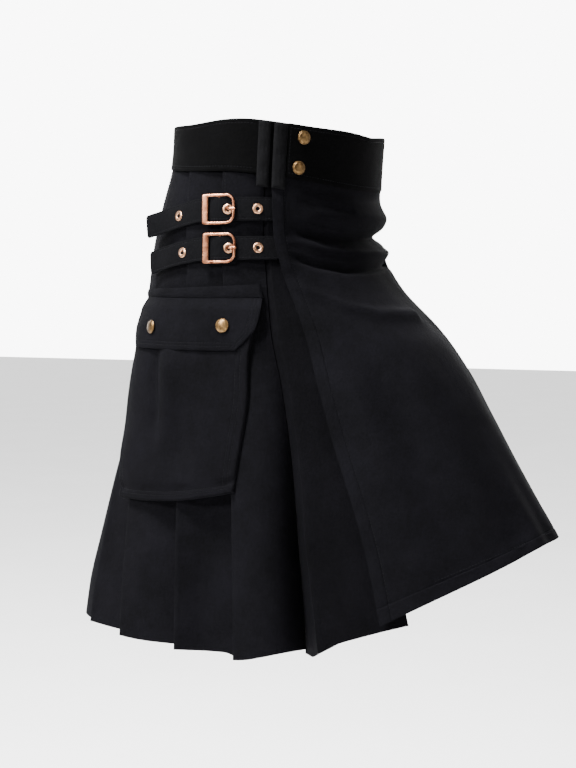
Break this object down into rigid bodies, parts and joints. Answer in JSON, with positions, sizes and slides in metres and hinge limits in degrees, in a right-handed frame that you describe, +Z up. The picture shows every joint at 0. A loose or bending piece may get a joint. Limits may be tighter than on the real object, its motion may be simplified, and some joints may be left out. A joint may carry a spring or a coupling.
{
  "type": "gothic kilt",
  "caption": "Knee-length black wrap kilt with a plain front apron, knife pleats, a wide waistband, two buckled side straps and a cargo pocket on the right hip.",
  "frame": {"origin": "the middle of the waist, level with the top of the waistband at the sides, where the wearer holds it", "axes": "+Z up out of the waist, -Y the way the wearer faces, -X the wearer's right, where the straps and the pocket are"},
  "size_m": [0.3994, 0.5741, 0.58],
  "materials": {
    "black_drill": "matt black cotton drill, topstitched",
    "antique_brass": "antique brass snap caps and eyelets",
    "copper": "polished copper-coloured buckles"
  },
  "bodies": {
    "root": {"belt_loop_back_left": "black_drill", "belt_loop_back_right": "black_drill", "belt_loop_left_a": "black_drill", "belt_loop_left_b": "black_drill", "belt_loop_right_a": "black_drill", "belt_loop_right_b": "black_drill", "buckle_frame_lower": "copper", "buckle_frame_upper": "copper", "buckle_tab_lower": "black_drill", "buckle_tab_upper": "black_drill", "eyelet_lower_1": "antique_brass", "eyelet_lower_2": "antique_brass", "eyelet_lower_3": "antique_brass", "eyelet_upper_1": "antique_brass", "eyelet_upper_2": "antique_brass", "eyelet_upper_3": "antique_brass", "front_apron": "black_drill", "pleats_back_left": "black_drill", "pleats_back_right": "black_drill", "pleats_left": "black_drill", "pleats_right": "black_drill", "pocket_bag": "black_drill", "pocket_flap": "black_drill", "pocket_flap_band": "black_drill", "prong_lower": "copper", "prong_upper": "copper", "snap_band_lower": "antique_brass", "snap_band_upper": "antique_brass", "snap_flap_back": "antique_brass", "snap_flap_front": "antique_brass", "strap_lower": "black_drill", "strap_upper": "black_drill", "under_apron": "black_drill", "waistband_back": "black_drill", "waistband_front": "black_drill"}
  },
  "joints": []
}
